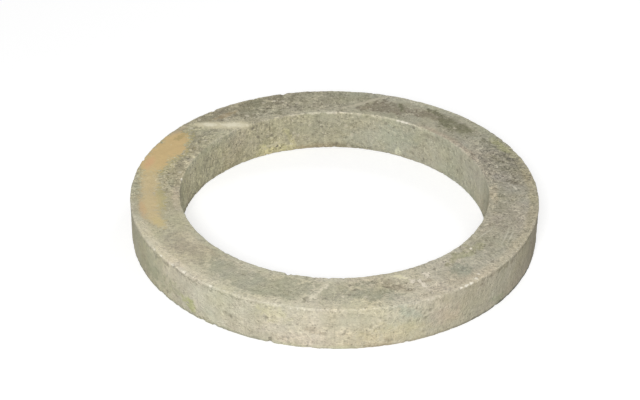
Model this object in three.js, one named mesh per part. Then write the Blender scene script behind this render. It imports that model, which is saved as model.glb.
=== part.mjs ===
// Concrete culvert ring: the flat adjusting ring that brings the cover of a culvert or manhole shaft up to level.
// It is one casting of earth-moist concrete, pressed and vibrated in a steel mould, with a plain rectangular section.
// Frame, in millimetres: +Z up, the origin on the ring's axis in the plane that it lies on.
import * as THREE from "three";

// The clear opening that shaft covers are made for, the wall round it, and the ring's height.
const clearOpening = 625;
const wall = 100;
const height = 90;

// The four arrises lose their sharp edge when the mould is stripped, and the one that takes the knocks loses most.
const arris = {
  topOuter: 6,
  topInner: 4,
  bottomInner: 4,
  bottomOuter: 4,
};

// Steps round the ring, and half the steps in the quarter circle of each arris.
const stepsRound = 160;
const halfStepsPerArris = 2;

const innerRadius = clearOpening / 2;
const outerRadius = innerRadius + wall;

// One quarter circle of the section, which turns anticlockwise from its start angle, given in quarter turns.
function roundArris(path, radius, centreX, centreY, startQuarter) {
  const start = (startQuarter * Math.PI) / 2;
  path.absarc(centreX, centreY, radius, start, start + Math.PI / 2, false);
}

// The section of the wall, x across from the axis and y up, walked anticlockwise from the bottom outer arris.
function wallSection() {
  const path = new THREE.Path();
  roundArris(path, arris.bottomOuter, outerRadius - arris.bottomOuter, arris.bottomOuter, 3);
  roundArris(path, arris.topOuter, outerRadius - arris.topOuter, height - arris.topOuter, 0);
  roundArris(path, arris.topInner, innerRadius + arris.topInner, height - arris.topInner, 1);
  roundArris(path, arris.bottomInner, innerRadius + arris.bottomInner, arris.bottomInner, 2);
  path.closePath();
  return path.getPoints(halfStepsPerArris);
}

const concrete = new THREE.MeshStandardMaterial({
  name: "concrete",
  color: 0xa9a48c,
  roughness: 0.95,
  metalness: 0,
});

const ring = new THREE.Mesh(new THREE.LatheGeometry(wallSection(), stepsRound), concrete);
ring.name = "ring";
ring.rotation.x = Math.PI / 2; // the lathe turns about Y, and the ring's axis is Z

const culvertRing = new THREE.Group();
culvertRing.name = "culvert_ring";
culvertRing.add(ring);

export default culvertRing;
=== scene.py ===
# A concrete culvert ring: one flat casting, pressed from earth-moist concrete, weathered in a builder's
# yard. Everything is in metres, in the part's own frame: +Z up, the origin on the ring's axis in the plane
# of its bed.
import math
import random

import bpy
from mathutils import Euler, Matrix, Vector, kdtree


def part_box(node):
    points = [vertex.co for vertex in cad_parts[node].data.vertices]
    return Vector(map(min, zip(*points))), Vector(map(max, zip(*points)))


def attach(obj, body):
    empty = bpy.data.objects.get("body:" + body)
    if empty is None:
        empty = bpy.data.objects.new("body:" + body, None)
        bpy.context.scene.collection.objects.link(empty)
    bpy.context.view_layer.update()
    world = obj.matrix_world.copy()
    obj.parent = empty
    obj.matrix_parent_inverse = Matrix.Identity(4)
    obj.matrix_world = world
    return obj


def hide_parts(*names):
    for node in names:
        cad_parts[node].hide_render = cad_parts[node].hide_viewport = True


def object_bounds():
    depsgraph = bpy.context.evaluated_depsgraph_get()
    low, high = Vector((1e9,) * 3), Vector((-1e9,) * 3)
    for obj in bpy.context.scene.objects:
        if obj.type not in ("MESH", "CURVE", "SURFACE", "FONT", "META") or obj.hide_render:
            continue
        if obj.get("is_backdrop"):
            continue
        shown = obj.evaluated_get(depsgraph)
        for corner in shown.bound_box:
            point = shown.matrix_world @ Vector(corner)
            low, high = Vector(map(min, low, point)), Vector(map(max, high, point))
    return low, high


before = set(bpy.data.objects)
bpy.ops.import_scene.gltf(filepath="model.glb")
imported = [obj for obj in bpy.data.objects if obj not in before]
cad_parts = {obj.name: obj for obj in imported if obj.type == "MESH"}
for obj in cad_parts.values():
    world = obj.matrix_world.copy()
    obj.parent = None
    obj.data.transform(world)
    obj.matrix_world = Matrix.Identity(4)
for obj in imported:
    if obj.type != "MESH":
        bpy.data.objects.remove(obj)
cad_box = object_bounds()

# The camera. A short telephoto lens at head height, about three metres off, looks down on the ring at 33
# degrees. It is a hair off level, as a camera held in the hand is.
LENS_MM = 85
CAMERA_AT = Vector((0, -2.597, 1.723))
CAMERA_AIM = Vector((-0.0294, 0.0233, 0.045))
CAMERA_ROLL = math.radians(0.654)

bpy.ops.object.camera_add(location=CAMERA_AT)
camera = bpy.context.object
camera.name = "camera"
camera.data.lens = LENS_MM
aimed = (CAMERA_AIM - CAMERA_AT).to_track_quat("-Z", "Y").to_matrix()
camera.rotation_euler = (aimed @ Euler((0, 0, CAMERA_ROLL)).to_matrix()).to_euler()
bpy.context.scene.camera = camera

# The casting. The real ring is pressed in a steel mould and stripped at once, so its section is a plain
# rectangle, its arrises crumble a little, and its skin is even but open, with sand grains and small voids
# showing all over.
MM = 0.001
ring_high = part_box("ring")[1]
OUTER = ring_high.x
TOP = ring_high.z
BORE = min(v.co.xy.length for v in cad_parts["ring"].data.vertices)
MIDDLE = (OUTER + BORE) / 2
CORNERS = {
    "top outer": Vector((OUTER, 0, TOP)),
    "top inner": Vector((BORE, 0, TOP)),
    "bottom inner": Vector((BORE, 0, 0)),
    "bottom outer": Vector((OUTER, 0, 0)),
}
ROUNDING = {"top outer": 2 * MM, "top inner": 2 * MM, "bottom inner": 1.6 * MM, "bottom outer": 1.6 * MM}
CUTS = {"seat": 32, "outer wall": 27, "bore wall": 25, "bed": 15}
ARRIS_SEGMENTS = 4
STEPS_ROUND = 759
NEAR = 0.1 * MM


def select_vertices(piece, wanted):
    """In edit mode, selects the vertices whose place passes the test, and what lies between them."""
    bpy.ops.object.mode_set(mode="OBJECT")
    for part in (*piece.data.vertices, *piece.data.edges, *piece.data.polygons):
        part.select = False
    for vertex in piece.data.vertices:
        vertex.select = wanted(vertex.co)
    bpy.ops.object.mode_set(mode="EDIT")
    bpy.ops.mesh.select_mode(type="VERT")


def deselect_all():
    """Deselects every object, because an operator acts on all that is selected."""
    for other in bpy.context.selected_objects:
        other.select_set(False)


# The mould's section is drawn first: a rectangle with rounded arrises, each side cut up fine enough to be
# roughened.
deselect_all()
bpy.ops.mesh.primitive_plane_add(size=1, location=(MIDDLE, 0, TOP / 2), rotation=(math.pi / 2, 0, 0))
casting = bpy.context.object
casting.name = "ring_casting"
casting.scale = (OUTER - BORE, TOP, 1)
bpy.ops.object.transform_apply(location=True, rotation=True, scale=True)
for arris, corner in CORNERS.items():
    select_vertices(casting, lambda place: (place - corner).length < NEAR)
    bpy.ops.mesh.bevel(offset=ROUNDING[arris], segments=ARRIS_SEGMENTS, affect="VERTICES")
bpy.ops.mesh.select_all(action="SELECT")
bpy.ops.mesh.delete(type="ONLY_FACE")
sides = {
    "seat": lambda place: abs(place.z - TOP) < NEAR,
    "outer wall": lambda place: abs(place.x - OUTER) < NEAR,
    "bore wall": lambda place: abs(place.x - BORE) < NEAR,
    "bed": lambda place: abs(place.z) < NEAR,
}
for side, on_side in sides.items():
    select_vertices(casting, on_side)
    bpy.ops.mesh.subdivide(number_cuts=CUTS[side])
bpy.ops.object.mode_set(mode="OBJECT")

# The section is swept once round the axis and closed on itself. Its steps are a multiple of three, because
# the skin is unrolled in thirds.
sweep = casting.modifiers.new("sweep", "SCREW")
sweep.axis = "Z"
sweep.steps = STEPS_ROUND
sweep.render_steps = STEPS_ROUND
sweep.use_merge_vertices = True
sweep.merge_threshold = NEAR
bpy.ops.object.modifier_apply(modifier=sweep.name)
bpy.ops.object.mode_set(mode="EDIT")
bpy.ops.mesh.select_all(action="SELECT")
bpy.ops.mesh.remove_doubles(threshold=NEAR)
bpy.ops.mesh.normals_make_consistent(inside=False)
bpy.ops.object.mode_set(mode="OBJECT")
bpy.ops.object.shade_smooth()

# The skin is unrolled for a texture bake: three lengths of a third of the ring each, side by side with a gap
# between them. Along a length is the way round the axis, and across it the way round the section. A face
# belongs to the seat or the bed where its normal stands at least this upright.
LENGTHS = 3
MAP_GAP = 0.004
MAP_SHARE = 1 - 2 * MAP_GAP
UPRIGHT = 0.7
PERIMETER = 2 * (OUTER - BORE) + 2 * TOP


def way_round_section(place, face):
    """How far round the section a corner of a face is, as a share of it, from mid-bed outwards and up."""
    across = place.xy.length - MIDDLE
    half_wall = (OUTER - BORE) / 2
    on_outer_side = face.center.xy.length > MIDDLE
    if face.normal.z < -UPRIGHT:
        run = across if on_outer_side else PERIMETER + across
    elif face.normal.z > UPRIGHT:
        run = 2 * half_wall + TOP - across
    elif on_outer_side:
        run = half_wall + place.z
    else:
        run = 3 * half_wall + 2 * TOP - place.z
    return run / PERIMETER


unrolled = casting.data.uv_layers.new(name="OFBake")
for face in casting.data.polygons:
    turn = math.atan2(face.center.y, face.center.x) / math.tau % 1
    length = int(turn * LENGTHS)
    for loop in face.loop_indices:
        at = casting.data.vertices[casting.data.loops[loop].vertex_index].co
        ahead = (math.atan2(at.y, at.x) / math.tau - turn + 0.5) % 1 - 0.5
        unrolled.uv[loop].vector = (
            MAP_GAP + MAP_SHARE * ((turn + ahead) * LENGTHS - length),
            (length + MAP_GAP + MAP_SHARE * way_round_section(at, face)) / LENGTHS,
        )

# The skin is roughened as the real one is: broad waves from the vibrating table, low lumps where the moist
# mix did not flow together, and coarse sand. Each layer has the size of its bumps and their height, in
# millimetres.
SKIN = {"waves": (130, 1.0), "lumps": (30, 1.2), "clods": (14, 1.1), "sand": (7, 0.8)}
for layer, (bump_size, bump_height) in SKIN.items():
    texture = bpy.data.textures.new(layer, "CLOUDS")
    texture.noise_scale = bump_size * MM
    texture.noise_depth = 1
    raised = casting.modifiers.new(layer, "DISPLACE")
    raised.texture = texture
    raised.texture_coords = "LOCAL"
    raised.strength = bump_height * MM
    raised.mid_level = 0.5
    bpy.ops.object.modifier_apply(modifier=raised.name)

# What the ring has lost since it was stripped is taken off next. First, the arrises crumble all along.
ARRIS_REACH = 9 * MM
CRUMBLE_SIZE = 9 * MM
CRUMBLE_DEPTH = 0.7 * MM
arrises = casting.vertex_groups.new(name="arrises")
for vertex in casting.data.vertices:
    at = Vector((vertex.co.xy.length, 0, vertex.co.z))
    away = min((at - corner).length for corner in CORNERS.values())
    if away < ARRIS_REACH:
        arrises.add([vertex.index], 1 - away / ARRIS_REACH, "REPLACE")
texture = bpy.data.textures.new("crumble", "CLOUDS")
texture.noise_type = "HARD_NOISE"
texture.noise_scale = CRUMBLE_SIZE
texture.noise_depth = 2
crumble = casting.modifiers.new("crumble", "DISPLACE")
crumble.texture = texture
crumble.texture_coords = "LOCAL"
crumble.vertex_group = arrises.name
crumble.strength = -CRUMBLE_DEPTH
crumble.mid_level = 0
bpy.ops.object.modifier_apply(modifier=crumble.name)

# The chips date from when the ring was new, and have greyed with it. The knocks are from handling in the
# yard, and are still pale. Each is given by its turn in degrees, the arris, and its size and depth in
# millimetres. Many small chips are drawn at random: their sizes by the least, the most and the likeliest,
# and their depth as a share of the size.
CHIPS = [
    (254.7, "top inner", 6, 4.0),
    (256.4, "top inner", 4, 2.0),
    (106.9, "top outer", 6, 2.5),
    (254.0, "bottom outer", 6, 3.0),
    (29.0, "top outer", 6, 1.4),
    (166.0, "top outer", 7, 2.0),
    (78.0, "bottom outer", 11, 5.0),
    (141.0, "bottom outer", 8, 4.0),
]
KNOCKS = [
    (305.2, "top outer", 5.5, 2.2),
    (306.9, "top outer", 6, 2.4),
    (308.6, "top outer", 6.5, 2.6),
    (60.5, "top inner", 5.5, 2.2),
    (62.3, "top inner", 6, 2.4),
    (64.2, "top inner", 5.5, 2.2),
    (175.6, "top inner", 5.5, 2.4),
    (213.9, "top outer", 5, 2.0),
    (217.5, "top outer", 5, 2.0),
    (222.8, "top outer", 5.5, 2.4),
    (227.5, "top outer", 5, 2.2),
    (236.8, "top outer", 5, 2.0),
    (131.0, "top outer", 5, 2.0),
    (348.5, "bottom outer", 6, 2.4),
]
SMALL_CHIPS = 110
SMALL_CHIP_SIZE = (3, 5.5, 3)
SMALL_CHIP_DEPTH = 0.28
SEED = 625
chips = [(CORNERS[arris], turn, size, depth) for turn, arris, size, depth in CHIPS]
knocks = [(CORNERS[arris], turn, size, depth) for turn, arris, size, depth in KNOCKS]
draw = random.Random(SEED)
for chip in range(SMALL_CHIPS):
    corner = draw.choice(list(CORNERS.values()))
    size = draw.triangular(*SMALL_CHIP_SIZE)
    chips.append((corner, draw.uniform(0, 360), size, SMALL_CHIP_DEPTH * size))

# Voids are where the mix was short of fines. They are a few millimetres wide, and lie anywhere on the skin.
# The largest on the outer wall are given by their turn, height and size. Small ones run in two rows under
# its top arris, each a few millimetres down and of one depth. The rest are drawn as the small chips are.
PITS = [
    (241.2, 41, 4.6),
    (242.8, 37, 4.8),
    (290.2, 49, 4),
    (292.4, 45, 4),
    (294.7, 47, 4.5),
    (295.9, 62, 5),
    (254.0, 8, 5.5),
]
PIT_DEPTH = 0.6
ROWS = ((205, 262), (306, 342))
ROW_PITS = 60
ROW_DOWN = (4, 9)
ROW_SIZE = (2.6, 3.6)
ROW_DEPTH = 1.2
VOIDS = 320
VOID_SIZE = (2.6, 5.2, 2.8)
VOID_DEPTH = 0.45
voids = [(Vector((OUTER, 0, up * MM)), turn, size, PIT_DEPTH * size) for turn, up, size in PITS]
for pit in range(ROW_PITS):
    turn = draw.choice([draw.uniform(*row) for row in ROWS])
    under = Vector((OUTER, 0, TOP - draw.uniform(*ROW_DOWN) * MM))
    voids.append((under, turn, draw.uniform(*ROW_SIZE), ROW_DEPTH))
for void in range(VOIDS):
    across = draw.choice((OUTER, BORE, draw.uniform(BORE, OUTER)))
    up = draw.uniform(0, TOP) if across in (OUTER, BORE) else draw.choice((0, TOP))
    size = draw.triangular(*VOID_SIZE)
    voids.append((Vector((across, 0, up)), draw.uniform(0, 360), size, VOID_DEPTH * size))

# Each loss is dug out as round bowls. A group's weights are shares of the deepest, in millimetres.
DEEPEST = 5
near_by = kdtree.KDTree(len(casting.data.vertices))
for vertex in casting.data.vertices:
    near_by.insert(vertex.co, vertex.index)
near_by.balance()
for loss, dents in {"chips": chips, "knocks": knocks, "voids": voids}.items():
    lost = {}
    for middle, turn, size, depth in dents:
        at = Matrix.Rotation(math.radians(turn), 3, "Z") @ middle
        for found, index, away in near_by.find_range(at, size * MM):
            lost[index] = max(depth * (1 - (away / (size * MM)) ** 2), lost.get(index, 0))
    hollows = casting.vertex_groups.new(name=loss)
    for index, depth in lost.items():
        hollows.add([index], depth / DEEPEST, "REPLACE")
    dig = casting.modifiers.new(loss, "DISPLACE")
    dig.vertex_group = hollows.name
    dig.strength = -DEEPEST * MM
    dig.mid_level = 0
    bpy.ops.object.modifier_apply(modifier=dig.name)
    # How deep a void or a knock is, in millimetres, is kept for the colour. The chips have the skin's own.
    if loss != "chips":
        depths = casting.data.attributes.new(loss + "_depth", "FLOAT", "POINT")
        for index, depth in lost.items():
            depths.data[index].value = depth

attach(casting, "root")
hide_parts("ring")


def linear(hex_colour):
    """An sRGB colour such as "#c9c2aa" as the linear values that a shader takes."""
    parts = [int(hex_colour[i : i + 2], 16) / 255 for i in (1, 3, 5)]
    return [c / 12.92 if c <= 0.04045 else ((c + 0.055) / 1.055) ** 2.4 for c in parts] + [1]


def add(tree, kind, inputs, **settings):
    """Adds a node with its settings, and sets each input to a value or links it to a node or a socket."""
    made = tree.nodes.new("ShaderNode" + kind)
    for name, value in settings.items():
        setattr(made, name, value)
    sockets = {socket.identifier: socket for socket in made.inputs}
    for name, value in inputs.items():
        if isinstance(value, bpy.types.Node):
            value = next(socket for socket in value.outputs if socket.enabled)
        if isinstance(value, bpy.types.NodeSocket):
            tree.links.new(value, sockets[name])
        else:
            sockets[name].default_value = value
    return made


# Pressed concrete: an earth-moist mix of grey cement, sand and fine gravel, stripped from its mould at once.
# Close up it is a matt, sandy grey-beige skin with pale and dark grains. Out in the yard, algae and soot
# grey it unevenly.
concrete = bpy.data.materials.new("pressed_concrete")
concrete.use_nodes = True
mix = concrete.node_tree
place = add(mix, "TexCoord", {}).outputs["Object"]
axes = add(mix, "SeparateXYZ", {"Vector": place})
height = axes.outputs["Z"]
level = add(mix, "CombineXYZ", {"X": axes.outputs["X"], "Y": axes.outputs["Y"]})
from_axis = add(mix, "VectorMath", {"Vector": level}, operation="LENGTH").outputs["Value"]
bearing = add(mix, "Math", {"Value": axes.outputs["Y"], "Value_001": axes.outputs["X"]}, operation="ARCTAN2")
round_ring = add(mix, "MapRange", {"Value": bearing, "From Min": -math.pi, "From Max": math.pi})

# Noise at each size that the eye picks out: its size in millimetres, detail, roughness and how it is drawn
# out upwards. Each is about nought on average, so that it varies a tone and doesn't shift it. The drag is
# the fine upright scoring that the mould left on the walls as it was drawn off, the runs are where rain has
# washed them, and the curl draws the fine lines that curl through the growth.
NOISES = {
    "drift": (110, 2, 0.5, 1),
    "cloud": (36, 3, 0.6, 1),
    "blotch": (14, 4, 0.62, 1),
    "curl": (14, 1, 0.5, 1),
    "clod": (7.5, 2, 0.6, 1),
    "sand": (3, 1, 0.6, 1),
    "drag": (4.5, 2, 0.6, 0.09),
    "runs": (26, 3, 0.6, 0.14),
}
noises = {}
for name, (size, detail, roughness, upright) in NOISES.items():
    drawn = add(mix, "Mapping", {"Vector": place, "Scale": (1, 1, upright)})
    noises[name] = add(
        mix,
        "TexNoise",
        {"Vector": drawn, "Scale": 1 / (size * MM), "Detail": detail, "Roughness": roughness},
        normalize=False,
    )


def ramp_round_ring(stops):
    """A colour ramp round the ring. A stop is a bearing in degrees and a colour, with its share as alpha."""
    ramp = add(mix, "ValToRGB", {"Fac": round_ring})
    # The ramp runs from -180 to 180 degrees, and both its ends hold what lies between the stops beside them.
    placed = sorted(((turn + 180) % 360 / 360, values) for turn, values in stops)
    seam = [(a + b) / 2 for a, b in zip(placed[0][1], placed[-1][1])]
    placed = [(0, seam), *placed, (1, seam)]
    while len(ramp.color_ramp.elements) < len(placed):
        ramp.color_ramp.elements.new(0.5)
    for element, (position, values) in zip(ramp.color_ramp.elements, placed):
        element.position = position
        element.color = values
    return ramp


# How each face has weathered, at stops round the ring: the bearing in degrees, the tone there, how far the
# skin is open, where 1 is as on the walls, and how flecked it is with dark growth. One dark stop on the bore
# wall is painted shadow.
FACES = {
    "seat": [
        (2, "#b1ab97", 0.7, 0.8),
        (12, "#b2aa97", 0.75, 1.0),
        (24, "#b1ab96", 0.85, 1.0),
        (38, "#b4af9a", 0.95, 0.5),
        (62, "#b5b09a", 1.2, 0.4),
        (88, "#bcb69e", 1.4, 0.5),
        (112, "#c0b9a0", 1.5, 0.6),
        (140, "#c4bd9e", 1.5, 0.6),
        (165, "#c0b89b", 1.4, 0.95),
        (182, "#bcb49a", 1.1, 0.75),
        (192, "#b8b297", 0.8, 0.35),
        (215, "#c6bfa3", 0.7, 0.4),
        (240, "#cec7ad", 0.65, 0.3),
        (275, "#d4ccb1", 1.3, 0.3),
        (300, "#c5bda9", 1.4, 0.3),
        (322, "#bbb4a0", 1.1, 0.5),
        (345, "#b1aa97", 0.95, 0.75),
    ],
    "outer wall": [
        (15, "#a39c85", 0.8, 0.5),
        (60, "#bdb69e", 1.0, 0.6),
        (110, "#c6bfa7", 0.9, 0.4),
        (150, "#bcb59d", 1.0, 0.6),
        (198, "#d0c9b2", 0.5, 0.2),
        (213, "#ccc6aa", 0.5, 0.3),
        (235, "#c9c3ac", 0.6, 0.3),
        (262, "#cac2ab", 0.95, 0.12),
        (285, "#c9c2aa", 0.95, 0.12),
        (305, "#bfb8a2", 0.55, 0.3),
        (325, "#bab39d", 0.45, 0.3),
        (342, "#b0a892", 0.4, 0.3),
    ],
    "bore wall": [
        (15, "#cec9b2", 0.7, 0.12),
        (40, "#c1bfa7", 0.8, 0.12),
        (54, "#bebca5", 0.9, 0.15),
        (68, "#bebaa2", 1.1, 0.2),
        (90, "#b8b398", 1.4, 0.2),
        (112, "#bcb698", 1.5, 0.45),
        (135, "#bab295", 1.3, 0.6),
        (155, "#c6c1a2", 1.2, 0.6),
        (174, "#cdcaad", 1.0, 0.5),
        # Painted shadow: the bore wall is darker about this bearing, as a shadow down it.
        (187, "#aaa58c", 1.0, 0.35),
        (202, "#b5b096", 1.0, 0.35),
        (240, "#b9b399", 1.0, 0.4),
        (300, "#b1ab93", 1.0, 0.5),
        (345, "#bab59d", 1.0, 0.3),
    ],
    "bed": [(45, "#b8b09a", 0.7, 0.2), (225, "#b0a893", 0.7, 0.4)],
}
GROWTH = "#8b8670"

# Bands run round the ring along a face. Each has its middle, in millimetres (from the bore on the seat, or
# up a wall), half its width, how soft it is and how broken, and stops of the bearing, the tint and how fully
# it covers.
BANDS = {
    "seat": {
        "outer margin": (
            (91, 11, 9, 4),
            [
                (14, "#b3aa8c", 0.75),
                (24, "#aeab8c", 0.7),
                (34, "#adac94", 0.7),
                (62, "#c6c3ad", 0.95),
                (90, "#b0ad96", 0.6),
                (112, "#9f997f", 0.4),
                (140, "#b5ad92", 0),
                (176, "#b5b197", 0.4),
                (184, "#bbb79b", 0.8),
                (194, "#b9b39a", 0.5),
                (203, "#dbd2b8", 0.9),
                (225, "#dfd6bb", 0.92),
                (246, "#d6cdb3", 0.8),
                (262, "#d5ccb2", 0.8),
                (285, "#cdc4ab", 0.5),
                (303, "#c5bba5", 0.5),
                (310, "#cbc0a9", 0.8),
                (336, "#c4b9a1", 0.7),
                (345, "#b3aa8c", 0.5),
                (354, "#b3aa8c", 0.8),
            ],
        ),
        "inner margin": (
            (6, 7, 6, 4),
            [
                (3, "#c3baa2", 0.7),
                (18, "#bfb69f", 0.6),
                (31, "#bfb19b", 0.7),
                (50, "#bfb19b", 0.6),
                (62, "#b5ad97", 0),
                (172, "#c2b8a2", 0),
                (185, "#c7bda3", 0.7),
                (200, "#c6bfa2", 0.6),
                (226, "#b9baa3", 0.6),
                (250, "#c6c3ac", 0.7),
                (266, "#d2ccb6", 0.85),
                (290, "#c3bba4", 0.2),
                (315, "#cbc5b0", 0.6),
                (338, "#bab6a2", 0.6),
                (352, "#bdb5a0", 0.4),
            ],
        ),
    },
    "outer wall": {
        "shade under the arris": (
            (84, 2, 3, 12),
            [
                (198, "#88836d", 0),
                (207, "#88836d", 0.7),
                (240, "#88836d", 0.6),
                (262, "#88836d", 0.2),
                (274, "#958c76", 0),
                (300, "#958c76", 0),
                (309, "#958c76", 0.7),
                (342, "#8d856f", 0.8),
                (0, "#8d856f", 0),
            ],
        ),
        "foot": (
            (1, 5, 5, 4),
            [
                (190, "#a9a78e", 0.5),
                (225, "#b4b596", 0.5),
                (272, "#bcc09f", 0.5),
                (283, "#b0a188", 0.4),
                (292, "#b3a98e", 0.3),
                (320, "#a5a68a", 0.6),
                (90, "#8f8a72", 0.7),
            ],
        ),
    },
    "bore wall": {
        "top": (
            (86, 9, 14, 8),
            [
                (120, "#c6c2a6", 0),
                (140, "#c6c2a6", 0.5),
                (165, "#c9c7ac", 0.8),
                (182, "#c6c4aa", 0.3),
                (200, "#c6c4aa", 0),
            ],
        ),
        # Along the foot of the bore wall: yellow stains, and darker parts that are dirt and also painted
        # shade where the wall meets the floor.
        "foot": (
            (0, 10, 10, 5),
            [
                (20, "#b7bba4", 0.4),
                (66, "#b0af9c", 0.55),
                (82, "#7f7d69", 0.95),
                (103, "#b09c7c", 0.6),
                (112, "#c9c199", 0.5),
                (121, "#cfc8a0", 0.6),
                (140, "#a09a7e", 0.5),
                (270, "#8f8f74", 0.7),
            ],
        ),
    },
    "bed": {},
}

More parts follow.
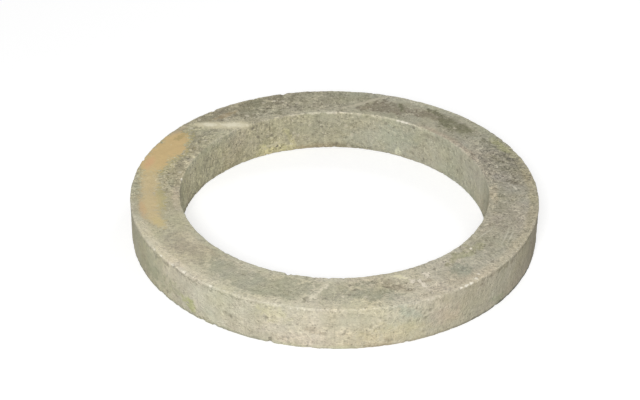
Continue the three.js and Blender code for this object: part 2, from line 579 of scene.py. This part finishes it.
# Marks. Each lies on one face, and is made of ovals that run together. An oval is given by its two ends,
# each as a bearing in degrees and millimetres as above (on the bed, from its outer edge), and by its width.
# After them come the mark's colour, how fully it covers, how soft its edge is and how patchy it is. These
# are in the skin, under its grain.
IN_SKIN = {
    "seat": {
        "mottle left": (
            [((211, 50), (222, 56), 34), ((218, 44), (231, 38), 40)],
            ("#a19a86", 0.52, 0.9, 1.5),
        ),
        "film front left": (
            [((231, 42), (243, 48), 54), ((243, 57), (252, 57), 60), ((250, 48), (261, 46), 60)],
            ("#b1ae96", 0.85, 0.55, 0.5),
        ),
        "film front": (
            [((265, 52), (276, 50), 48), ((277, 48), (288, 46), 50)],
            ("#b8b398", 0.75, 0.7, 0.9),
        ),
        "dark front": (
            [((277, 50), (281, 64), 28), ((284, 64), (288, 58), 30), ((279, 27), (282.5, 22), 15)],
            ("#a3a28d", 0.6, 0.8, 1.1),
        ),
        "dark under the scrape": (
            [((288, 44), (291, 54), 26), ((286.5, 26), (289.5, 30), 18)],
            ("#a59c88", 0.7, 0.8, 0.8),
        ),
        "dark by the scrape": ([((262.2, 80), (263.1, 68), 9)], ("#8f8973", 0.85, 0.9, 0.4)),
        "film front right": (
            [((322, 30), (334, 40), 34), ((330, 46), (342, 46), 50)],
            ("#aaa691", 0.38, 0.7, 0.5),
        ),
        "olive inner right": ([((313, 28), (325, 30), 22)], ("#b0ab88", 0.7, 0.8, 1.2)),
        "mottles behind the mud": (
            [
                ((139, 32), (144, 44), 26),
                ((144, 54), (148, 44), 28),
                ((150, 26), (158, 20), 26),
                ((162, 22), (170, 22), 18),
            ],
            ("#938c78", 0.52, 0.9, 1.7),
        ),
        "pink left": ([((184, 10), (196, 10), 16)], ("#c8bba6", 0.6, 1.0, 0.5)),
        "grey green left": ([((177, 22), (182, 18), 18)], ("#a9a68e", 0.6, 0.9, 0.4)),
        "flecks back left": (
            [((111, 70), (125, 67), 68), ((126, 72), (141, 92), 44)],
            ("#857f68", 0.6, 0.8, 1.4),
        ),
        "flecks back": ([((84, 66), (112, 62), 60)], ("#8e8973", 0.45, 0.8, 1.4)),
        "brown back right": (
            [
                ((82, 26), (75, 36), 26),
                ((76, 44), (70, 48), 42),
                ((70, 44), (65, 44), 42),
                ((62, 50), (51, 60), 32),
            ],
            ("#8f8572", 0.75, 0.7, 0.8),
        ),
        "dark back right": (
            [
                ((38.8, 55), (46, 56), 36),
                ((45, 54), (50.5, 60), 44),
                ((51, 72), (57, 75), 15),
                ((67.6, 68), (65.6, 44), 11),
            ],
            ("#807e63", 0.88, 1.1, 0.6),
        ),
        "mottle right": (
            [((11, 42), (24, 44), 60), ((22, 56), (27, 60), 44)],
            ("#8f8a77", 0.6, 0.7, 1.6),
        ),
        "grey right": ([((4, 42), (11, 42), 40)], ("#a6a194", 0.5, 0.8, 0.5)),
        "yellow green right": ([((24, 84), (31, 82), 20)], ("#b3b086", 0.8, 0.8, 0.7)),
        "dark spots right": (
            [((33.5, 68), (29.5, 64), 10), ((22, 48), (18.5, 52), 13), ((21, 74), (17.5, 72), 8)],
            ("#7f7a64", 0.6, 0.9, 0.7),
        ),
        # Painted shade with some dirt: the shadowed far side of a small raised stone, drawn as a dark mark.
        "shade and dirt behind the stone": ([((4.6, 63), (6.4, 51), 9)], ("#7d7663", 0.75, 0.9, 0.5)),
        "pale inner right": ([((354, 12), (4, 12), 14)], ("#c6b9a0", 0.7, 1.0, 0.6)),
        "dusk front right": ([((295.5, 50), (299, 50), 12)], ("#a89c88", 0.7, 1.0, 0.6)),
        "pale outer right": ([((301.5, 76), (306, 76), 12)], ("#cfc5ae", 0.6, 1.0, 0.6)),
        "round dark": ([((310.2, 58), (312, 57), 37)], ("#a2a38f", 0.85, 0.7, 0.4)),
    },
    "outer wall": {
        "green left": ([((196, 40), (214, 40), 90)], ("#b5b498", 0.6, 0.8, 0.5)),
        "olive left": ([((191, 74), (199, 72), 24)], ("#a8a389", 0.4, 0.9, 0.5)),
        "algae left": ([((208, 24), (217, 38), 24)], ("#a8aa8c", 0.5, 1.2, 1.2)),
        "algae front left": ([((220, 34), (226, 36), 24)], ("#b0b08c", 0.5, 1.2, 1.3)),
        "lime spot": ([((228, 33), (231, 20), 18)], ("#b7b980", 0.75, 1.1, 0.9)),
        "pale front": ([((271.5, 40), (274.5, 34), 16)], ("#dcd2b8", 0.7, 1.0, 0.6)),
        "dusk front": ([((265, 42), (267.5, 38), 12)], ("#b9ae96", 0.6, 1.0, 0.9)),
        "dusk foot": ([((250, 13), (255, 12), 18)], ("#b5af97", 0.5, 1.0, 0.9)),
        "blue green": ([((287, 84), (292, 58), 26)], ("#b9bca8", 0.5, 0.9, 1.0)),
        "pink base": ([((256, 18), (270, 14), 30)], ("#d3c6b0", 0.4, 1.0, 0.6)),
        "yellow base": ([((280, 24), (294, 28), 38)], ("#cac09f", 0.6, 1.0, 0.7)),
        "brown foot": ([((279.5, 6), (285, 7), 14)], ("#ac9d85", 0.4, 1.0, 0.7)),
        "yellow top": ([((252, 76), (257, 68), 28)], ("#d2cba6", 0.6, 1.0, 1.0)),
        "pink right": ([((297, 42), (304, 34), 34)], ("#c4b6a1", 0.5, 1.0, 0.7)),
        "green base right": ([((317, 20), (323, 11), 18)], ("#a9ab8b", 0.5, 1.0, 0.7)),
        "moss back": ([((60, 20), (84, 16), 40), ((70, 30), (76, 12), 50)], ("#8f9072", 0.6, 0.9, 0.9)),
        "soot back": ([((118, 70), (142, 74), 44)], ("#8d8877", 0.6, 0.9, 0.9)),
        "mortar back": ([((97, 62), (103, 40), 24)], ("#c9c2ae", 0.7, 0.6, 0.6)),
    },
    "bore wall": {
        "smooth back right": (
            [((61, 40), (72, 36), 62), ((72, 32), (83, 28), 48)],
            ("#b8b9a6", 0.6, 1.0, 0.4),
        ),
        "dusk under the rim": ([((45.5, 78), (51, 74), 14)], ("#a19c86", 0.6, 1.0, 0.7)),
        "yellow run": (
            [((110.5, 50), (108, 24), 14), ((115, 10), (107, 8), 22)],
            ("#cdc79a", 0.7, 1.2, 0.5),
        ),
        "yellow foot": ([((117.5, 4), (122, 18), 28)], ("#d8d0a2", 0.9, 0.9, 0.6)),
        "notch": ([((62.9, 6), (63.6, 20), 13)], ("#dfdfc2", 0.9, 0.7, 0.4)),
        "green foot": ([((236, 14), (282, 12), 34)], ("#8f8f74", 0.6, 0.9, 0.9)),
        "soot front": ([((300, 64), (330, 66), 44)], ("#8e8976", 0.6, 0.9, 0.9)),
    },
    "bed": {
        "damp": ([((200, -50), (250, -50), 60)], ("#9a9480", 0.6, 0.9, 0.9)),
    },
}

# These lie on the skin and fill it: mud that dried on the seat, smears of mortar, and scrapes and scratches.
ON_SKIN = {
    "seat": {
        "mud rim": (
            [
                ((149, 76), (155, 64), 58),
                ((156, 64), (163, 66), 70),
                ((163, 68), (171, 72), 62),
                ((182, 44), (195, 42), 20),
            ],
            ("#bcb27e", 0.65, 0.8, 0.8),
        ),
        "mud": (
            [
                ((149.5, 80), (155, 68), 50),
                ((156, 68), (162, 72), 64),
                ((162, 73), (170, 76), 54),
                ((155, 44), (159, 44), 22),
            ],
            ("#d8bc88", 0.92, 0.5, 0.4),
        ),
        "mud run": (
            [((170, 76), (186, 64), 34), ((186, 63), (196, 65), 38), ((195, 64), (202, 58), 28)],
            ("#d6c192", 0.8, 1.1, 0.4),
        ),
        "mud grey end": ([((144, 92), (150, 93), 14)], ("#c0b096", 0.6, 1.2, 0.3)),
        "mud orange": ([((165, 84), (170, 81), 16)], ("#dfb187", 0.6, 1.3, 0.3)),
        "mud orange low": ([((190, 79), (197, 79), 13)], ("#d6b184", 0.5, 1.4, 0.3)),
        "mud yellow": ([((200, 56), (204, 54), 20)], ("#d3c28d", 0.6, 1.3, 0.6)),
        "mud olive spot": ([((148.5, 70), (151.5, 72), 12)], ("#ad9d6c", 0.6, 1.3, 0.8)),
        "mortar streak": (
            [((127.2, 4), (133, 28), 27), ((132.2, 24), (138.6, 62), 28), ((138.6, 60), (140.6, 78), 18)],
            ("#dcd3b3", 0.85, 1.0, 0.3),
        ),
        "mortar core": (
            [((129.5, 12), (134.5, 36), 17), ((137, 51), (139, 65), 13)],
            ("#f3ecd2", 0.85, 1.2, 0.6),
        ),
        "rust": ([((127, 66), (134, 66), 16)], ("#b39a72", 0.4, 0.9, 0.8)),
        "scrape front": (
            [((264.1, 68), (264.9, 58), 9), ((265, 56), (267.9, 27), 7), ((272.2, 57), (273, 59), 6)],
            ("#eae2cb", 0.8, 1.0, 1.8),
        ),
        "scrape right": (
            [((290.6, 13), (292.8, 20), 12), ((293.2, 24), (294.6, 31), 8)],
            ("#e8e1c0", 0.85, 1.0, 1.4),
        ),
        "flecks right": (
            [((294.4, 32), (295.3, 47), 8), ((296.4, 46), (297.2, 67), 7), ((299.5, 35), (301.2, 30), 7)],
            ("#ece2cf", 0.85, 0.7, 2.8),
        ),
        "scrape back": ([((73, 98), (88, 18), 8)], ("#c9c1aa", 0.75, 0.8, 0.5)),
        # Pale stones. The first also carries painted light: the lit near side of a small raised stone that
        # is only painted.
        "pale stones right with painted light": (
            [((0.8, 56.5), (2.6, 54.5), 6), ((15.6, 38), (14.8, 36), 4)],
            ("#dcd5c2", 0.85, 1.0, 0.3),
        ),
        "specks right": (
            [((321.2, 22), (321.8, 22), 4), ((310.9, 94), (311.2, 95), 5), ((312.7, 87), (313.1, 88), 5)],
            ("#efe8d6", 0.9, 0.8, 0.3),
        ),
        "scratches right": (
            [((327.5, 18), (336.5, 26), 4), ((329, 64), (337.5, 57), 4), ((331, 72), (337.5, 66), 4)],
            ("#cfcab6", 0.6, 1.0, 0.5),
        ),
    },
    "bore wall": {
        "mortar line": ([((112.8, 24), (120.6, 22), 5)], ("#d9d1b2", 0.7, 1.0, 0.6)),
    },
}

# The marks' outlines waver: raggedly in the skin, and more smoothly where something has dried on it. Each
# way has the detail of its noise, and how far the outline strays.
WAVER = {"ragged": (4, 6 * MM), "smooth": (1, 3 * MM)}
WAVER_SIZE = 26 * MM
WAVER_ROUGHNESS = 0.6
wavering = {}
for edge, (detail, waver) in WAVER.items():
    bent = add(
        mix,
        "TexNoise",
        {"Vector": place, "Scale": 1 / WAVER_SIZE, "Detail": detail, "Roughness": WAVER_ROUGHNESS},
        normalize=False,
    )
    ways = add(mix, "SeparateColor", {"Color": bent.outputs["Color"]}).outputs
    way = add(mix, "CombineXYZ", {"X": ways["Red"], "Y": ways["Green"], "Z": ways["Blue"]})
    wavering[edge] = add(
        mix,
        "VectorMath",
        {"Vector": way, "Vector_001": (waver, waver, waver), "Vector_002": place},
        operation="MULTIPLY_ADD",
    )

# An oval falls off evenly from its middle to four times as far as its rim, so that a broken rim has room to
# stray. It ends a third of its width past its two ends, and runs together with the ovals that it touches.
SPREAD = 4
PAST_ENDS = 1 / 3
RUN_TOGETHER = 0.3


def lay(colour, tint, share):
    """Mixes a tint over a colour."""
    laid = add(mix, "Mix", {"Factor_Float": share, "A_Color": colour, "B_Color": tint}, data_type="RGBA")
    return laid.outputs[2]


def lay_mark(colour, face, mark, edge, breaks, reach):
    """Lays a mark over a colour, and gives the new colour and where the mark lies.

    A noise breaks its rim, and it reaches this far off its face over an arris.
    """
    ovals, (tint, cover, soft, patchy) = mark
    nearest = None
    for start, end, width in ovals:
        ends = []
        for turn, far in (start, end):
            at = {
                "seat": Vector((BORE + far * MM, 0, TOP)),
                "outer wall": Vector((OUTER, 0, far * MM)),
                "bore wall": Vector((BORE, 0, far * MM)),
                "bed": Vector((OUTER + far * MM, 0, 0)),
            }[face]
            ends.append(Matrix.Rotation(math.radians(turn), 3, "Z") @ at)
        middle = (ends[0] + ends[1]) / 2
        along = (ends[1] - ends[0]).normalized()
        lies_flat = face in ("seat", "bed")
        outward = Vector((0, 0, 1)) if lies_flat else Vector((*middle.xy, 0))
        across = outward.cross(along).normalized()
        turned = Matrix((along, across, along.cross(across))).transposed()
        half = (ends[1] - ends[0]).length / 2 + PAST_ENDS * width * MM
        oval = add(
            mix,
            "Mapping",
            {
                "Vector": wavering[edge],
                "Location": middle,
                "Rotation": turned.to_euler(),
                "Scale": SPREAD * Vector((half, width * MM / 2, reach)),
            },
            vector_type="TEXTURE",
        )
        near = add(mix, "TexGradient", {"Vector": oval}, gradient_type="SPHERICAL").outputs["Fac"]
        if nearest:
            near = add(
                mix,
                "Math",
                {"Value": nearest, "Value_001": near, "Value_002": RUN_TOGETHER / SPREAD},
                operation="SMOOTH_MAX",
            )
        nearest = near
    broken = add(
        mix,
        "Math",
        {"Value": noises[breaks], "Value_001": -patchy / SPREAD, "Value_002": nearest},
        operation="MULTIPLY_ADD",
    )
    laid = add(
        mix,
        "MapRange",
        {
            "Value": broken,
            "From Min": 1 - (1 + soft / 2) / SPREAD,
            "From Max": 1 - (1 - soft / 2) / SPREAD,
            "To Max": cover,
        },
        interpolation_type="SMOOTHSTEP",
    )
    return lay(colour, linear(tint), laid), laid


def lay_band(colour, away, half_width, soft, patchy, stops):
    """Lays a band over a colour, and gives the new colour and where the band lies.

    Away is how far a point is from the band's middle.
    """
    ramp = ramp_round_ring([(turn, (*linear(tint)[:3], share)) for turn, tint, share in stops])
    broken = add(
        mix,
        "Math",
        {"Value": noises["blotch"], "Value_001": patchy * MM, "Value_002": away},
        operation="MULTIPLY_ADD",
    )
    near = add(
        mix,
        "MapRange",
        {
            "Value": broken,
            "From Min": (half_width + soft / 2) * MM,
            "From Max": (half_width - soft / 2) * MM,
        },
    )
    laid = add(mix, "Math", {"Value": near, "Value_001": ramp.outputs["Alpha"]}, operation="MULTIPLY")
    return lay(colour, ramp.outputs["Color"], laid), laid


# Each face's own colour: its tone round the ring, clouded with growth where it is flecked, its bands and its
# marks. A face is clouded between the two shares, and the growth drifts slowly besides. Stains in the skin
# reach far over an arris.
FACE_REACH = 30 * MM
CLOUDED = (0.08, 0.5)
SLOW_DRIFT = 0.2
MEASURES = {"seat": (from_axis, BORE), "bore wall": (height, 0), "outer wall": (height, 0)}
skins = {}
courses = {}
for face, stops in FACES.items():
    tone = ramp_round_ring([(turn, linear(tint)) for turn, tint, *shares in stops])
    course = ramp_round_ring([(turn, (*shares, 0, 1)) for turn, tint, *shares in stops])
    courses[face] = course.outputs["Color"]
    flecked = add(mix, "SeparateColor", {"Color": courses[face]}).outputs["Green"]
    cloudy = add(mix, "MapRange", {"Value": flecked, "To Min": CLOUDED[0], "To Max": CLOUDED[1]})
    clouds = add(mix, "Math", {"Value": noises["cloud"], "Value_001": noises["blotch"]}, operation="ADD")
    grown = add(mix, "Math", {"Value": clouds, "Value_001": cloudy}, operation="MULTIPLY")
    slow = noises["drift"] if face in ("seat", "bed") else noises["runs"]
    grown = add(
        mix, "Math", {"Value": slow, "Value_001": SLOW_DRIFT, "Value_002": grown}, operation="MULTIPLY_ADD"
    )
    # Where there is less growth than on average, the share is under nought, and the tone comes out lighter.
    skin = add(
        mix,
        "Mix",
        {"Factor_Float": grown, "A_Color": tone, "B_Color": linear(GROWTH)},
        data_type="RGBA",
        clamp_factor=False,
    ).outputs[2]
    for (middle, half_width, soft, patchy), tints in BANDS[face].values():
        measure, start = MEASURES[face]
        off = add(mix, "Math", {"Value": measure, "Value_001": start + middle * MM}, operation="SUBTRACT")
        away = add(mix, "Math", {"Value": off}, operation="ABSOLUTE")
        skin = lay_band(skin, away, half_width, soft, patchy, tints)[0]
    for mark in IN_SKIN[face].values():
        skin = lay_mark(skin, face, mark, "ragged", "blotch", FACE_REACH)[0]
    skins[face] = skin

# The faces meet along the arrises. A point is on a wall where it is nearer to that wall than to the seat,
# and on the bed where it is nearer to the bed than to either wall. Their colours run together over a
# millimetre or so.
depth_from = {}
for side, (measure, sign, offset) in {
    "outer wall": (from_axis, -1, OUTER),
    "bore wall": (from_axis, 1, -BORE),
    "seat": (height, -1, TOP),
}.items():
    depth_from[side] = add(
        mix, "Math", {"Value": measure, "Value_001": sign, "Value_002": offset}, operation="MULTIPLY_ADD"
    )
nearest_wall = add(
    mix,
    "Math",
    {"Value": depth_from["outer wall"], "Value_001": depth_from["bore wall"]},
    operation="MINIMUM",
)
MEETING = 1.2 * MM
colour = skins["seat"]
course = courses["seat"]
for face, own, other in (
    ("outer wall", depth_from["outer wall"], depth_from["seat"]),
    ("bore wall", depth_from["bore wall"], depth_from["seat"]),
    ("bed", height, nearest_wall),
):
    nearer = add(mix, "Math", {"Value": other, "Value_001": own}, operation="SUBTRACT")
    on_face = add(
        mix,
        "MapRange",
        {"Value": nearer, "From Min": -MEETING, "From Max": MEETING},
        interpolation_type="SMOOTHSTEP",
    )
    colour = lay(colour, skins[face], on_face)
    course = lay(course, courses[face], on_face)
shares = add(mix, "SeparateColor", {"Color": course}).outputs
openness = shares["Red"]
growing = shares["Green"]

# Within a face, smoother and more open spots lie side by side.
SMOOTH_SPOTS = 0.8
patches = add(mix, "SeparateColor", {"Color": noises["cloud"].outputs["Color"]}).outputs["Green"]
patches = add(
    mix, "Math", {"Value": patches, "Value_001": SMOOTH_SPOTS, "Value_002": 1}, operation="MULTIPLY_ADD"
)
skin_open = add(mix, "Math", {"Value": openness, "Value_001": patches}, operation="MULTIPLY")

# The worn arrises. Handling and stacking rub the grey skin off them, so they show as thin pale broken lines.
# The bottom outer one is dark, partly with dirt from where the ring stood and partly with painted shade
# where it meets the floor. Each has half its width in millimetres, how soft it is and how broken, and stops
# as a band has.
WORN_AND_SHADED = {
    "top inner": (
        (2.7, 2.6, 5),
        [
            (10, "#cdc5ad", 0.3),
            (35, "#dcd4bc", 0.75),
            (48, "#c6bea6", 0.15),
            (58, "#e3dbc3", 0.85),
            (67, "#e3dbc3", 0.6),
            (76, "#e3dbc3", 0.7),
            (88, "#e3dbc3", 0.95),
            (104, "#dfd7be", 0.85),
            (118, "#cdc5ad", 0.5),
            (150, "#cdc5ad", 0.3),
            (190, "#cdc5ad", 0.3),
            (206, "#d6d3bd", 0.7),
            (218, "#bcbcad", 0.5),
            (250, "#bcbcad", 0.4),
            (265, "#e0dac5", 0.85),
            (275, "#c5c0aa", 0.3),
            (295, "#c5c0aa", 0.2),
            (315, "#d0cab5", 0.7),
            (330, "#c5c0aa", 0.2),
        ],
    ),
    "top outer": (
        (4, 6, 9),
        [
            (20, "#c8c0a9", 0.3),
            (90, "#c8c0a9", 0.4),
            (160, "#c8c0a9", 0.2),
            (203, "#d8d0b9", 0.7),
            (212, "#ddd5be", 0.9),
            (262, "#dad2ba", 0.75),
            (280, "#d6ceb7", 0.5),
            (300, "#d6ceb7", 0.5),
            (314, "#cfc5ae", 0.6),
            (328, "#c8bea7", 0.5),
            (350, "#c8c0a9", 0.3),
        ],
    ),
    # Dark along the bottom outer arris: dirt, and painted shade where the ring meets the floor.
    "bottom outer": (
        (5, 4, 2.5),
        [
            (20, "#c4bca4", 0.4),
            (185, "#c4bca4", 0.4),
            (200, "#8b8779", 0.4),
            (233, "#8b8779", 0.45),
            (246, "#8b8779", 0.4),
            (258, "#8f8a79", 0.15),
            (274, "#8f8a79", 0),
            (282, "#8c826e", 0.35),
            (293, "#8c826e", 0.15),
            (303, "#827d6e", 0.45),
            (310, "#79766a", 0.6),
            (321, "#6d6c63", 0.8),
            (331, "#66655e", 0.9),
            (345, "#66655e", 0.8),
        ],
    ),
    "bottom inner": ((3.5, 4, 5), [(0, "#bdb69d", 0.4), (180, "#bdb69d", 0.4)]),
}
section = add(mix, "CombineXYZ", {"X": from_axis, "Z": height})
worn_and_shaded = {}
for arris, ((half_width, soft, patchy), stops) in WORN_AND_SHADED.items():
    away = add(mix, "VectorMath", {"Vector": section, "Vector_001": CORNERS[arris]}, operation="DISTANCE")
    colour, worn_and_shaded[arris] = lay_band(colour, away, half_width, soft, patchy, stops)

# Sand in the skin gives it a fine uneven brightness, and the more open the skin is, the more it shows. Each
# noise has its strength in it.
UNEVEN = {"sand": 0.13, "clod": 0.2, "blotch": 0.1, "drag": 0.03}
uneven = 0
for noise, strength in UNEVEN.items():
    uneven = add(
        mix,
        "Math",
        {"Value": noises[noise], "Value_001": strength, "Value_002": uneven},
        operation="MULTIPLY_ADD",
    )
bright = add(
    mix, "Math", {"Value": uneven, "Value_001": skin_open, "Value_002": 1}, operation="MULTIPLY_ADD"
)

# Thick growth is run through by fine curling lines, dark ones and pale ones. A line is drawn where one
# channel of the curl noise is within its width of nought, and the lines show from this much growth upwards.
CURLS = {"Green": -0.54, "Blue": 0.54}
CURL_WIDTH = 0.14
CURLS_FROM = 0.3
curling = 0
for channel, strength in CURLS.items():
    bend = add(mix, "SeparateColor", {"Color": noises["curl"].outputs["Color"]}).outputs[channel]
    away = add(mix, "Math", {"Value": bend}, operation="ABSOLUTE")
    line = add(mix, "MapRange", {"Value": away, "From Min": CURL_WIDTH, "From Max": 0})
    curling = add(
        mix, "Math", {"Value": line, "Value_001": strength, "Value_002": curling}, operation="MULTIPLY_ADD"
    )
curled = add(mix, "MapRange", {"Value": growing, "From Min": CURLS_FROM})
bright = add(
    mix, "Math", {"Value": curling, "Value_001": curled, "Value_002": bright}, operation="MULTIPLY_ADD"
)

# The cement and the sand also vary in hue from place to place, towards pink or green, and towards buff or
# grey. Each noise has its strength for the one and for the other.
HUES = {"drift": (0.035, 0.06), "cloud": (0.02, 0.035)}
pinker = bright
greyer = bright
for noise, (pink, grey) in HUES.items():
    ways = add(mix, "SeparateColor", {"Color": noises[noise].outputs["Color"]}).outputs
    pinker = add(
        mix,
        "Math",
        {"Value": ways["Green"], "Value_001": pink, "Value_002": pinker},
        operation="MULTIPLY_ADD",
    )
    greyer = add(
        mix,
        "Math",
        {"Value": ways["Blue"], "Value_001": grey, "Value_002": greyer},
        operation="MULTIPLY_ADD",
    )
shade = add(mix, "CombineColor", {"Red": pinker, "Green": bright, "Blue": greyer})
colour = add(
    mix,
    "Mix",
    {"Factor_Float": 1, "A_Color": colour, "B_Color": shade},
    data_type="RGBA",
    blend_type="MULTIPLY",
).outputs[2]

# Single grains, drawn at the coarse end of their real size so that they show. Sand has dark pits and pale
# quartz, and now and then a small stone of the gravel comes to the surface. A kind has its size in
# millimetres, and for each tone its share of the grains and how strongly it shows. On a worn arris, crumbs
# of fresh concrete show nearly white. A grain has its full tone in its core and none past its rim, both as
# shares of its size, and jitter keeps it from being round.
GRAINS = {
    "sand": (4.5, [("#726c59", 0.22, 0.38), ("#e6dec6", 0.2, 0.36)]),
    "gravel": (10, [("#868070", 0.06, 0.5), ("#d4ccb6", 0.08, 0.5)]),
}
CRUMBS = ("#f2ecda", 0.3, 0.95)
CORE = 0.2
RIM = 0.6
JITTER = 1.2 * MM
shaken = add(mix, "CombineXYZ", {"X": noises["sand"], "Y": noises["clod"], "Z": noises["blotch"]})
jittered = add(
    mix,
    "VectorMath",
    {"Vector": shaken, "Vector_001": (JITTER, JITTER, JITTER), "Vector_002": place},
    operation="MULTIPLY_ADD",
)
for kind, (size, tones) in GRAINS.items():
    grains = add(mix, "TexVoronoi", {"Vector": jittered, "Scale": 1 / (size * MM)})
    lot = add(mix, "SeparateColor", {"Color": grains.outputs["Color"]})
    round_grain = add(
        mix,
        "MapRange",
        {"Value": grains.outputs["Distance"], "From Min": RIM, "From Max": CORE},
        interpolation_type="SMOOTHSTEP",
    )
    layers = [(channel, tone, skin_open) for channel, tone in zip(("Red", "Green"), tones)]
    if kind == "sand":
        layers.append(("Blue", CRUMBS, worn_and_shaded["top outer"]))
    for channel, (tint, share, cover), where in layers:
        chosen = add(
            mix,
            "MapRange",
            {"Value": lot.outputs[channel], "From Min": share, "From Max": share / 2, "To Max": cover},
        )
        exposed = add(mix, "Math", {"Value": round_grain, "Value_001": where}, operation="MULTIPLY")
        showing = add(mix, "Math", {"Value": chosen, "Value_001": exposed}, operation="MULTIPLY")
        colour = lay(colour, linear(tint), showing)

# Dirt lodges in the voids and greys them, and the same grey is painted shade, standing in for the shadow
# down in them. The knocks show the paler inside of the concrete. Each tint starts at a shallow depth and is
# full at a deeper one, both in millimetres, and then covers as much as its last number says.
HOLLOWS = {"voids": ("#716c5a", 0.3, 1.8, 0.48), "knocks": ("#f4eedd", 0.5, 1.3, 0.95)}


def lay_hollows(colour, loss):
    """Tints the hollows of one kind over a colour."""
    tint, shallow, full, cover = HOLLOWS[loss]
    depth = add(mix, "Attribute", {}, attribute_name=loss + "_depth").outputs["Fac"]
    showing = add(mix, "MapRange", {"Value": depth, "From Min": shallow, "From Max": full, "To Max": cover})
    return lay(colour, linear(tint), showing)


# What lies on the skin comes over its grain, and fills its pores. It stops close under an arris. The knocks
# come last, because they are fresh.
SKIN_REACH = 9 * MM
# The voids get their dirt and their painted shade.
colour = lay_hollows(colour, "voids")
filled = 0
for face, marks in ON_SKIN.items():
    for mark in marks.values():
        colour, laid = lay_mark(colour, face, mark, "smooth", "clod", SKIN_REACH)
        filled = add(mix, "Math", {"Value": filled, "Value_001": laid}, operation="MAXIMUM")
colour = lay_hollows(colour, "knocks")

# Concrete is matt all over, and a little more so where its skin is open.
ROUGHNESS = (0.82, 0.94)
surface = mix.nodes["Principled BSDF"]
mix.links.new(colour, surface.inputs["Base Color"])
rough = add(mix, "MapRange", {"Value": skin_open, "To Min": ROUGHNESS[0], "To Max": ROUGHNESS[1]})
mix.links.new(rough.outputs["Result"], surface.inputs["Roughness"])

# The finest relief, under the size of the mesh: lumps and grains of sand, and the drag marks up the walls.
# Each noise has its share of the height. Mud and mortar even it out, and stand a little proud.
RELIEF = {"clod": 0.7, "sand": 0.8, "drag": 0.1}
RELIEF_HEIGHT = 0.8 * MM
RELIEF_WHERE_FILLED = 0.35
relief = 0
for noise, strength in RELIEF.items():
    relief = add(
        mix,
        "Math",
        {"Value": noises[noise], "Value_001": strength, "Value_002": relief},
        operation="MULTIPLY_ADD",
    )
kept = add(mix, "MapRange", {"Value": filled, "To Min": 1, "To Max": RELIEF_WHERE_FILLED})
relief = add(
    mix, "Math", {"Value": relief, "Value_001": kept, "Value_002": filled}, operation="MULTIPLY_ADD"
)
bump = add(mix, "Bump", {"Height": relief, "Distance": RELIEF_HEIGHT, "Strength": 1})
mix.links.new(bump.outputs["Normal"], surface.inputs["Normal"])
casting.data.materials.append(concrete)

# The floor. It is a wide roll of white studio paper, and it shows white to the camera while it keeps the
# shadow.
PAPER_WIDTH = 24
PAPER_COLOUR = "#cbcbcb"
PAPER_ROUGHNESS = 0.95
PAPER_SPECULAR = 0.1
PAPER_GLOW = 0.56

deselect_all()
bpy.ops.mesh.primitive_plane_add(size=PAPER_WIDTH)
floor = bpy.context.object
floor.name = "floor"
floor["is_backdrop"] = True
paper = bpy.data.materials.new("studio_paper")
paper.use_nodes = True
sheet = paper.node_tree
paper_skin = sheet.nodes["Principled BSDF"]
paper_skin.inputs["Base Color"].default_value = linear(PAPER_COLOUR)
paper_skin.inputs["Roughness"].default_value = PAPER_ROUGHNESS
paper_skin.inputs["Specular IOR Level"].default_value = PAPER_SPECULAR
seen = add(sheet, "LightPath", {}).outputs["Is Camera Ray"]
glow = add(sheet, "Math", {"Value": seen, "Value_001": PAPER_GLOW}, operation="MULTIPLY")
shine = add(sheet, "Emission", {"Color": (1, 1, 1, 1), "Strength": glow})
both = add(sheet, "AddShader", {"Shader": paper_skin, "Shader_001": shine})
sheet.links.new(both.outputs[0], sheet.nodes["Material Output"].inputs["Surface"])
floor.data.materials.append(paper)

# The light. A large soft box stands behind the camera and a weaker one behind the ring, under an even white
# sky.
SOFT_BOXES = {"key": ((-0.4, -3.65, 2.5), 129), "back": ((1.4, 3.4, 2.8), 36)}
BOX_SIZE = 1.2
SKY = 0.38

for box, (box_at, watts) in SOFT_BOXES.items():
    bpy.ops.object.light_add(type="AREA", location=box_at)
    lamp = bpy.context.object
    lamp.name = box
    lamp.data.size = BOX_SIZE
    lamp.data.energy = watts
    lamp.rotation_euler = (-Vector(box_at)).to_track_quat("-Z", "Y").to_euler()

studio = bpy.data.worlds.new("studio")
bpy.context.scene.world = studio
studio.use_nodes = True
air = studio.node_tree
seen = add(air, "LightPath", {}).outputs["Is Camera Ray"]
sky = add(air, "MapRange", {"Value": seen, "To Min": SKY, "To Max": 1})
air.nodes["Background"].inputs["Color"].default_value = (1, 1, 1, 1)
air.links.new(sky.outputs["Result"], air.nodes["Background"].inputs["Strength"])
bpy.context.scene.view_settings.view_transform = "Standard"

size = {
    "cad": [list(corner) for corner in cad_box],
    "visual": [list(corner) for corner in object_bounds()],
}
